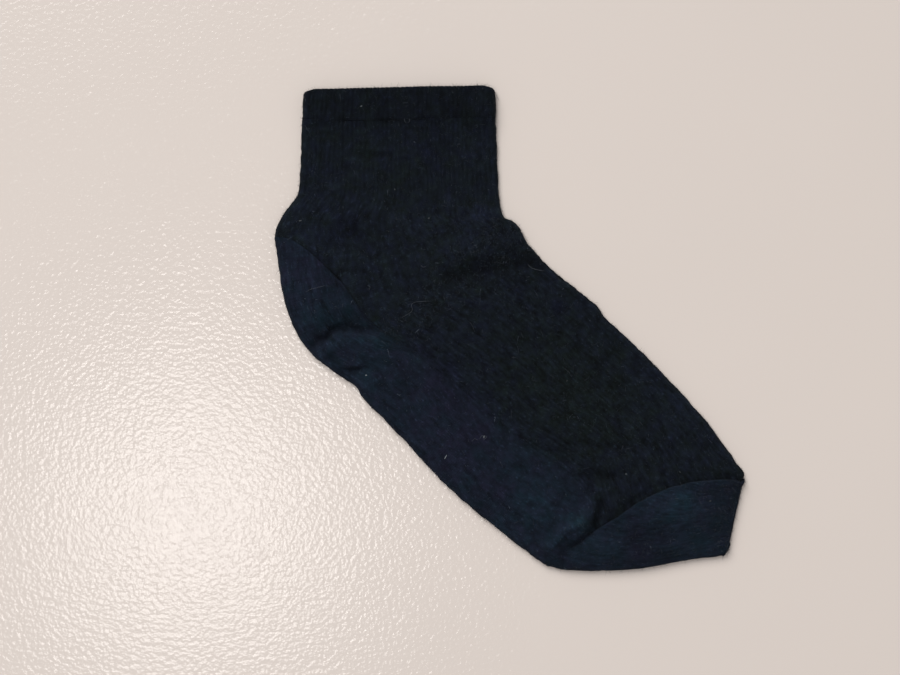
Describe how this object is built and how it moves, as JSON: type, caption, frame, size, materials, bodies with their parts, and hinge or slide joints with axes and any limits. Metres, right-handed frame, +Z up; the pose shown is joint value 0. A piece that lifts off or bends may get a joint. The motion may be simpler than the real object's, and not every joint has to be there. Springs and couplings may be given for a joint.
{
  "type": "ribbed quarter sock laid flat",
  "caption": "Dark navy adult quarter sock laid flat on its side, with a turned welt, ribbed leg and instep, and plain-knit heel, sole and toe.",
  "frame": {"origin": "centre of the bounding box in plan, at the level of the surface that the sock lies on", "axes": "+X towards the toe, across the leg; +Y along the leg towards the opening; +Z up from the surface, through both layers of the flat sock"},
  "size_m": [0.1969, 0.2032, 0.0061],
  "materials": {
    "rib_knit": "matt ribbed cotton knit, nearly black navy",
    "plain_knit": "matt plain cotton knit, dark navy"
  },
  "bodies": {
    "root": {"cuff_welt": "rib_knit", "leg": "rib_knit", "heel_pocket": "plain_knit", "instep": "rib_knit", "sole": "plain_knit", "toe_cap": "plain_knit"}
  },
  "joints": []
}
